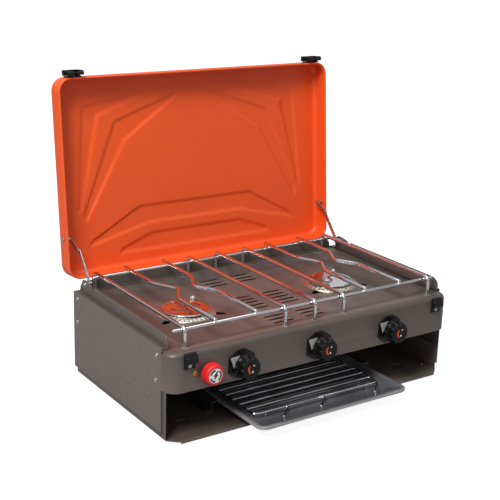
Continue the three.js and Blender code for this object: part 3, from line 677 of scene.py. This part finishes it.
def make_pan_support():
    z = WIRE["z"]
    rail_z = z - WIRE["bar"] - WIRE["rail"] + 1
    wires = Build()
    for i, x in enumerate(BARS):
        if i in BURNER_BARS:
            towards = BURNER_BARS[i]
            step = [(x, 198, z), (x + towards * 21, 157, z), (x, 124, z)]
            path = bent([(x, WIRE["back"] + 3, z), *step, (x, RAILS["front"][0] - 2, z)], 9, 8)
        else:
            foot = FASCIA["top"] + 1 if i == 4 else WELL["floor"] + 4
            corners = [(x, WIRE["back"], WELL["floor"] + 3), (x, WIRE["back"], z), (x, WIRE["front"], z)]
            path = bent([*corners, (x, WIRE["front"], foot)], 8, 8)
        wires.add(*tube(path, WIRE["bar"], 16))
    for y, end in RAILS.values():
        wires.add(*tube([(-end, y, rail_z), (0, y, rail_z), (end, y, rail_z)], WIRE["rail"], 16))
        for x in BARS:
            weld_z = z - WIRE["bar"] + 0.3
            wires.add(*turned([(0, -1.6), (2.2, -1.2), (3, 0), (2.2, 1.2), (0, 1.6)], (x, y, weld_z), sides=12))
    piece("wire_pan_support", wires, "pan_support", "chrome", ["pan_support"], angle=60)
    rings = Build()
    for x, y in leg_holes():
        section = [(3.3, 132.6), (4.1, 132.6), (4.3, 134.1), (4.2, 134.4), (3.8, 134.5), (3.4, 134.2)]
        rings.add(*turned(section, (x, y, 0), sides=28))
    piece("hob_grommets", rings, "base", "rubber", material=CLEAR_RUBBER, angle=50)


# ---- Burners ----


def cap_height(x, y):
    """The pressed S on a burner's cap: a raised ridge along two arcs."""
    height = 0
    for sign in (1, -1):
        off_ridge = abs(math.hypot(x - sign * MARK_RADIUS, y) - MARK_RADIUS)
        if y * sign > -2:
            height = max(height, 1 - (off_ridge / 2.2) ** 2)
    return height


def make_burner(side, sign):
    z = WELL["floor"]
    x, y = sign * BURNER["x"], BURNER["y"]
    ports = 36

    def ribs(angle, k):
        return 0.8 * (1 if math.cos(ports * angle) > 0.1 else -0.6) if k in (8, 9, 10) else 0

    hole, flange, cap = BURNER["hole"], BURNER["flange"], BURNER["cap"]
    section = [
        (0, z - 22), (26, z - 22), (hole - 2, z - 8), (hole - 2, z + 0.3), (flange - 0.4, z + 0.3),
        (flange, z + 0.8), (flange - 0.5, z + 1.5), (flange - 1.6, z + 1.4), (42, z + 2),
        (39, z + 3.4), (35.4, z + 4.4), (32, z + 5), (24, z + 5), (24, z - 8), (18, z - 20), (0, z - 20),
    ]
    body = Build().add(*turned(section, (x, y, 0), sides=ports * 6, ripple=ribs))
    body.add(*tube([(x, 52, z - 13), (x, 90, z - 13), (x, y - 26, z - 13)], 7, 24, dome=False))
    piece(f"burner_body_{side}", body, "base", "burner_aluminium", [f"burner_{side}"], angle=40)
    rings = []
    profile = [
        (0.01, 7.9), *[(r, 7.9 + 0.04 * math.sin(r)) for r in np.linspace(1, 28, 24)],
        (cap - 5, 7.9), (cap - 2, 7.9), (cap - 0.8, 7.8), (cap - 0.2, 7.4), (cap, 6.6), (cap - 0.4, 5.9),
        (cap - 3, 5.4), (12, 5.3), (0.01, 5.3),
    ]
    for radius, height in profile:
        ring = []
        for k in range(96):
            angle = 2 * math.pi * k / 96
            px, py = radius * math.cos(angle), radius * math.sin(angle)
            lift = 0.5 * cap_height(px, py) if height > 7.5 and radius < 27 else 0
            ring.append((x + px, y + py, z + height + lift))
        rings.append(ring)
    piece(f"burner_plate_{side}", Build().add(*skin(rings)), "base", "chrome", [f"burner_cap_{side}"], angle=50)
    # A dark strip along each arc of the pressed S: painted shade in the S.
    s_shade = Build()
    for way in (1, -1):
        bend = []
        for a in np.radians(range(-20, 181, 10)):
            across = MARK_RADIUS + MARK_RADIUS * math.cos(a)
            bend.append((x + way * across, y + way * MARK_RADIUS * math.sin(a), z + 8.15))
        s_shade.add(*tube(bend, 1.3, 10, flat=0.4))
    piece(f"burner_mark_{side}", s_shade, "base", "rubber", material=SHADED_STEEL, angle=60)

    def spark_path(heights, reach, radius):
        """Up beside the cap, then in over its edge by a reach."""
        offsets = (BURNER["spark"], BURNER["spark"], BURNER["spark"] - reach)
        return bent([(x + offset, y + offset, z + height) for offset, height in zip(offsets, heights)], radius)

    tip = Build().add(*tube(spark_path((5, 10, 10.4), 11, 3), 0.8, 10))
    piece(f"spark_wire_{side}", tip, "base", "zinc_steel", angle=60)
    sleeve = Build().add(*tube(spark_path((2, 8, 9.6), 7, 2), 2.4, 20))
    piece(f"spark_sleeve_{side}", sleeve, "base", "ceramic", angle=60)


# ---- Knobs ----


def flute(angle, flutes, sharpness=0.25):
    """0 on a knob's lands and 1 in its flutes."""
    wave = math.cos(flutes * angle)
    return min(1, max(0, (wave + sharpness) / (2 * sharpness)))


def make_knob(name, x):
    flutes, sides = 11, 220
    # How far out, radius and depth of the flutes, from the back to the middle of the face.
    levels = [(5.4, 9.2, 0), (5.6, 9.6, 0), (10.6, 9.6, 0), (10.8, 10.4, 0), (10.5, 16.2, 0), (10.8, 17.2, 0),
              (11.4, 17.6, 0), (12.4, 17.6, 0.1), (13.2, 17.4, 1.2), (15, 17.1, 1.9), (22, 16.4, 2.1),
              (24.6, 16, 1.9), (26, 15.4, 1.3), (26.8, 14.3, 0.5), (27, 12.8, 0), (26.8, 6, 0), (26.7, 0.01, 0)]
    rings = []
    for out, radius, dip in levels:
        ring = []
        for k in range(sides):
            angle = 2 * math.pi * k / sides
            r = radius - dip * flute(angle, flutes)
            ring.append((x + r * math.cos(angle), -out, KNOB["z"] + r * math.sin(angle)))
        rings.append(ring)
    body = f"knob_{name}"
    piece(f"knob_grip_{name}", Build().add(*skin(rings)), body, "black_plastic", [body], angle=38)

    def flat_mark(outline, thickness=0.25):
        front = [(x + a, -KNOB["front"] - thickness, KNOB["z"] + b) for a, b in outline]
        back = [(x + a, -KNOB["front"] + 0.2, KNOB["z"] + b) for a, b in outline]
        return skin([back, front])

    outer = arc((0.6, 0.3), 6.6, 118, 250, 16)
    inner = arc((3.4, 0.9), 7.2, 232, 140, 16)
    marks = Build().add(*flat_mark([*outer, *inner]))
    piece(f"knob_crescent_{name}", marks, body, "red_plastic", material=ORANGE_PRINT, angle=30)
    dots = Build().add(*flat_mark(arc((1.6, -3.4), 1.3, 0, 345, 23)))
    dots.add(*flat_mark(arc((3.4, 5.4), 0.9, 0, 345, 23)))
    piece(f"knob_dots_{name}", dots, body, "ceramic", material=WHITE_PRINT, angle=30)

    pointer = Build()
    corners = [(-18.7, 11.6), (-3.4, 12.4), (-13, -4.4)]
    back = [(x + a, -2.4, KNOB["z"] + b) for a, b in corners]
    front = [(x + a, -2.85, KNOB["z"] + b) for a, b in corners]
    pointer.add(*skin([back, front]))
    piece(f"knob_pointer_{name}", pointer, "base", "zinc_steel", material=SILVER_PRINT, angle=30, rounding=0.15)


# ---- Igniter ----


def make_igniter():
    x, z = PIEZO["x"], PIEZO["z"]
    ribs, sides = 26, 208
    # How far out, radius and depth of the ribs, from the hollow in the back to the middle of the face.
    levels = [(13.3, 0.01, 0), (13.3, 12.2, 0), (4.2, 12.4, 0), (4, 12.7, 0), (4, 14.6, 0), (4.2, 15.3, 0.2),
              (5.2, 15.6, 0.6), (14.4, 14.8, 0.6), (15.8, 14.3, 0.4), (16.8, 13.3, 0), (17.4, 12, 0),
              (17.5, 11, 0), (16.9, 10.6, 0), (16.9, 0.01, 0)]
    rings = []
    for out, radius, dip in levels:
        ring = []
        for k in range(sides):
            angle = 2 * math.pi * k / sides
            r = radius - dip * (0.5 + 0.5 * math.cos(ribs * angle))
            ring.append((x + r * math.cos(angle), -out, z + r * math.sin(angle)))
        rings.append(ring)
    cap = Build().add(*skin(rings))
    cap.add(*tube([(x, -14, z), (x, -4, z), (x, 7, z)], 3.2, 20))
    piece("igniter_push", cap, "igniter_cap", "red_plastic", ["igniter_cap"], angle=40)

    def flat_mark(outline, out):
        back = [(x + a, -16.7, z + b) for a, b in outline]
        front = [(x + a, -out, z + b) for a, b in outline]
        return skin([back, front])

    disc = Build().add(*flat_mark(arc((0, 0), 10.4, 0, 352.5, 47), 17.25))
    piece("igniter_disc", disc, "igniter_cap", "ceramic", material=WHITE_PRINT, angle=40, rounding=0.2)
    label = Build()
    for start, end in ((-60, 50), (95, 165), (195, 265)):
        label.add(*flat_mark([*arc((0, 0), 9.3, start, end, 14), *arc((0, 0), 7, end, start, 14)], 17.45))
    bolt = [(1.6, 6.2), (-3.6, -1), (-1, -1), (-2.2, -6.2), (3.8, 1.4), (1.2, 1.4), (4, 6.2)]
    label.add(*flat_mark(bolt, 17.45))
    piece("igniter_print", label, "igniter_cap", "black_plastic", angle=30)


# ---- Grill tray and rack ----


def make_tray():
    half, front, length = TRAY["half"], TRAY["front"], TRAY["length"]
    rim, floor, slant = TRAY["rim"], TRAY["floor"], TRAY["slope"]
    under = floor - TRAY["sheet"]

    def dip(x, y):
        """How far the front rim sinks between its corners."""
        near = max(0, 1 - (y - front) / 12)
        share = min(1, max(0, (half - 16 - abs(x)) / 40))
        return 2.4 * near * share * share * (3 - 2 * share)

    def ring(inset, radius, z, slope=0, lip=0):
        side = half - inset
        outline = rounded(-side, side, front + inset + slope, front + length - inset, radius, steps=10)
        points = []
        for a, b in zip(outline, outline[1:] + outline[:1]):
            parts = 24 if abs(a[1] - b[1]) < 0.01 and abs(a[0] - b[0]) > 50 else 1
            points += [(a[0] + (b[0] - a[0]) * i / parts, a[1], z) for i in range(parts)]
        return [(x, y, h - dip(x, y) - lip * (1 - dip(x, y) / 2.4)) for x, y, h in points]

    rings = [
        ring(22, 6, under, slant), ring(20, 6, under, slant), ring(9.5, 6, under, slant),
        ring(8, 7, floor - 0.5, slant), ring(6.8, 8, floor + 0.4, slant), ring(5.2, 9, rim - 2.2),
        ring(4.6, 10, rim - 1.2), ring(3.8, 10.5, rim - 1.1), ring(1.6, 12, rim - 1.1),
        ring(1.1, 12.4, rim - 1.7, 0, 2.4), ring(0.4, 13, rim - 1.9, 0, 2.6), ring(0, 13, rim - 1.5, 0, 2.6),
        ring(0, 13, rim - 0.6), ring(0.9, 12.4, rim), ring(5, 10, rim), ring(6.2, 9.4, rim - 0.3),
        ring(7, 8.8, rim - 1.1), ring(8.4, 7.6, floor + 2.2, slant), ring(9.4, 7, floor + 0.8, slant + 2),
        ring(11, 6, floor, slant + 4), ring(20, 6, floor, slant + 6), ring(22, 6, floor + 1.2, slant + 6),
        ring(25, 5, floor + 1.4, slant + 6), ring(27, 5, floor + 0.3, slant + 6), ring(29, 5, floor, slant + 6),
    ]
    tray = Build().add(*skin(rings))
    for i in range(11):
        y = front + 58 + i * 15
        groove = [(-half + 34, y, floor - 0.1), (0, y, floor + 0.2), (half - 34, y, floor - 0.1)]
        tray.add(*tube(groove, 1.4, 10, flat=0.45))
    piece("drip_tray", tray, "grill_tray", "dark_enamel", ["grill_tray"], angle=40)


def make_rack():
    half, z, r = RACK["half"], RACK["z"], RACK["wire"]
    start = RACK["first"]
    end = RACK["first"] + RACK["pitch"] * (RACK["wires"] - 1)
    rack = Build()
    corners = [(half, start, z), (half, end, z), (-half, end, z), (-half, start, z)]
    rack.add(*tube(bent([(0, start, z), *corners, (-1, start, z)], 9), r + 0.3, 12))
    for x in (-58, 8, 108):
        foot = [(x + 4, start, z), (x + 1, start - 4, z - 1.6), (x - 12, start - 15, z - 2.4),
                (x - 19, start - 22, z - 2.6)]
        rack.add(*tube(bent(foot, 6), 1.5, 12))
    for i in range(1, RACK["wires"] - 1):
        y = RACK["first"] + i * RACK["pitch"]
        rack.add(*tube([(-half - 1, y, z + 0.9), (0, y, z + 1.1), (half + 1, y, z + 0.9)], r, 12))
        for x in (-half, half):
            bead = [(0, -1.2), (1.6, -0.9), (2.1, 0), (1.6, 0.9), (0, 1.2)]
            rack.add(*turned(bead, (x, y, z + 0.5), sides=10))
    for x in (-half + 20, half - 20):
        for y in (start, end):
            rack.add(*tube([(x, y, TRAY["floor"] + 0.3), (x, y, 14), (x, y, z)], r, 12))
    piece("wire_rack", rack, "grill_rack", "chrome", ["grill_rack"], angle=60)


# ---- Screws, rivets and ribs ----


def screw(centre, axis, out, radius):
    """A domed head with a dimple in its middle, facing out along its axis."""
    section = [(0, 0), (radius, 0), (radius, 0.35), (radius * 0.86, 0.9), (radius * 0.5, 1.25),
               (radius * 0.28, 1.3), (radius * 0.2, 0.75), (0, 0.7)]
    points, faces = turned(section, sides=28)
    if axis == "x":
        points = np.stack([points[:, 2] * out, points[:, 0], points[:, 1]], axis=1)
    elif axis == "y":
        points = np.stack([points[:, 0], points[:, 2] * out, points[:, 1]], axis=1)
    return points + np.array(centre, float), faces


def make_fixings():
    for side, sign in SIDES.items():
        heads = Build()
        for y, z in ((276, 127), (277, 90), (35, 124), (37, 87)):
            heads.add(*screw((sign * HALF, y, z), "x", sign, 3.6))
        heads.add(*screw((sign * (HALF - 7.7), *STAY_EAR), "x", sign, 3.4))
        piece(f"side_screws_{side}", heads, "base", "zinc_steel", angle=50)
        catch = Build().add(*screw((sign * CATCH[0], -2.6, CATCH[1]), "y", -1, 3.0))
        piece(f"catch_screw_{side}", catch, "base", "zinc_steel", angle=50)
        face = sign * (HALF - 0.6)
        rib = Build().add(*tube(bent([(face, 52, 58), (face, 263, 58)], 3), 1.6, 12))
        piece(f"side_rib_{side}", rib, "base", "grey_enamel", angle=60)
        head = [(0, 6), (2.4, 6), (2.2, 6.8), (1.2, 7.3), (0, 7.4)]
        floor_rivet = Build().add(*turned(head, (sign * 239, 38, 0), sides=20))
        piece(f"floor_rivet_{side}", floor_rivet, "base", "zinc_steel", angle=50)


# ---- Stage ----


def aim(lamp, target):
    lamp.rotation_euler = (Vector(target) - lamp.location).to_track_quat("-Z", "Y").to_euler()


def area_light(name, at, target, size, watts):
    lamp = bpy.data.lights.new(name, "AREA")
    lamp.shape = "RECTANGLE"
    lamp.size, lamp.size_y = size
    lamp.energy = watts
    made = bpy.data.objects.new(name, lamp)
    made.location = at
    bpy.context.scene.collection.objects.link(made)
    aim(made, target)


def make_stage():
    mesh = bpy.data.meshes.new("floor")
    far = 40
    mesh.from_pydata([(-far, -far, 0), (far, -far, 0), (far, far, 0), (-far, far, 0)], [], [(0, 1, 2, 3)])
    floor = thing("floor", mesh)
    nodes = Nodes("floor_paper")
    paper = nodes.blend(nodes.noise(0.6, 2), (0.34, 0.34, 0.34), (0.38, 0.38, 0.38))
    nodes.link(paper, nodes.shader.inputs["Base Color"])
    nodes.shader.inputs["Roughness"].default_value = 0.9
    nodes.shader.inputs["Specular IOR Level"].default_value = 0.1
    nodes.shader.inputs["Emission Color"].default_value = (1, 1, 1, 1)
    seen = nodes.add("ShaderNodeLightPath").outputs["Is Camera Ray"]
    nodes.link(nodes.between(seen, 0.03, 0.9, 0, 1), nodes.shader.inputs["Emission Strength"])
    mesh.materials.append(nodes.material)

    world = bpy.data.worlds.new("studio")
    bpy.context.scene.world = world
    world.use_nodes = True
    tree = world.node_tree
    background = tree.nodes["Background"]
    coords = tree.nodes.new("ShaderNodeTexCoord")
    split = tree.nodes.new("ShaderNodeSeparateXYZ")
    tree.links.new(coords.outputs["Generated"], split.inputs["Vector"])
    fade = tree.nodes.new("ShaderNodeValToRGB")
    fade.color_ramp.elements[0].position = 0.0
    fade.color_ramp.elements[0].color = (0.1, 0.1, 0.1, 1)
    fade.color_ramp.elements[1].position = 1.0
    fade.color_ramp.elements[1].color = (0.5, 0.5, 0.52, 1)
    for position, level in ((0.1, 0.12), (0.24, 0.62), (0.4, 0.6), (0.5, 0.14), (0.72, 0.5)):
        fade.color_ramp.elements.new(position).color = (level, level, level * 1.02, 1)
    seen = tree.nodes.new("ShaderNodeLightPath")
    choose = tree.nodes.new("ShaderNodeMix")
    choose.data_type = "RGBA"
    choose.inputs["B"].default_value = (1, 1, 1, 1)
    tree.links.new(split.outputs["Z"], fade.inputs["Fac"])
    tree.links.new(seen.outputs["Is Camera Ray"], choose.inputs["Factor"])
    tree.links.new(fade.outputs["Color"], choose.inputs["A"])
    tree.links.new(choose.outputs["Result"], background.inputs["Color"])
    background.inputs["Strength"].default_value = 1.0

    area_light("key", (-1.42, -0.78, 2.0), (0, 0, 0.15), (0.8, 0.8), 56)
    area_light("top", (0.2, 0.0, 2.1), (0, 0, 0.1), (1.4, 1.0), 7)
    area_light("fill", (1.4, -1.8, 0.9), (0, 0, 0.2), (0.9, 0.9), 0.6)


def make_camera():
    """The camera, in front of the stove's left side and a little above it."""
    azimuth, elevation, roll = (math.radians(a) for a in (-34.524, 17.206, 1.811))
    target = Vector((-0.14710, -0.18729, 0.27229))
    back = Vector((math.sin(azimuth) * math.cos(elevation), -math.cos(azimuth) * math.cos(elevation),
                   math.sin(elevation)))
    right = (-back).cross(Vector((0, 0, 1))).normalized()
    up = right.cross(-back)
    c, s = math.cos(roll), math.sin(roll)
    right, up = right * c + up * s, up * c - right * s
    camera = bpy.data.cameras.new("camera")
    camera.lens = 78.97
    camera.sensor_width = 36
    camera.clip_end = 120
    made = bpy.data.objects.new("camera", camera)
    turned_to = Matrix((right, up, back)).transposed().to_4x4()
    made.matrix_world = Matrix.Translation(target + back * 1.42176) @ turned_to
    bpy.context.scene.collection.objects.link(made)
    bpy.context.scene.camera = made


make_hob()
make_lid()
make_pan_support()
for side_name, side_sign in SIDES.items():
    make_burner(side_name, side_sign)
for knob_name, knob_x in KNOB["xs"].items():
    make_knob(knob_name, knob_x)
make_igniter()
make_tray()
make_rack()
make_fixings()
dress_cad_nodes({name for made in bpy.data.objects for name in made.get("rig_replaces", [])})
make_camera()
make_stage()
bpy.context.scene.view_settings.view_transform = "Standard"

bpy.context.view_layer.update()
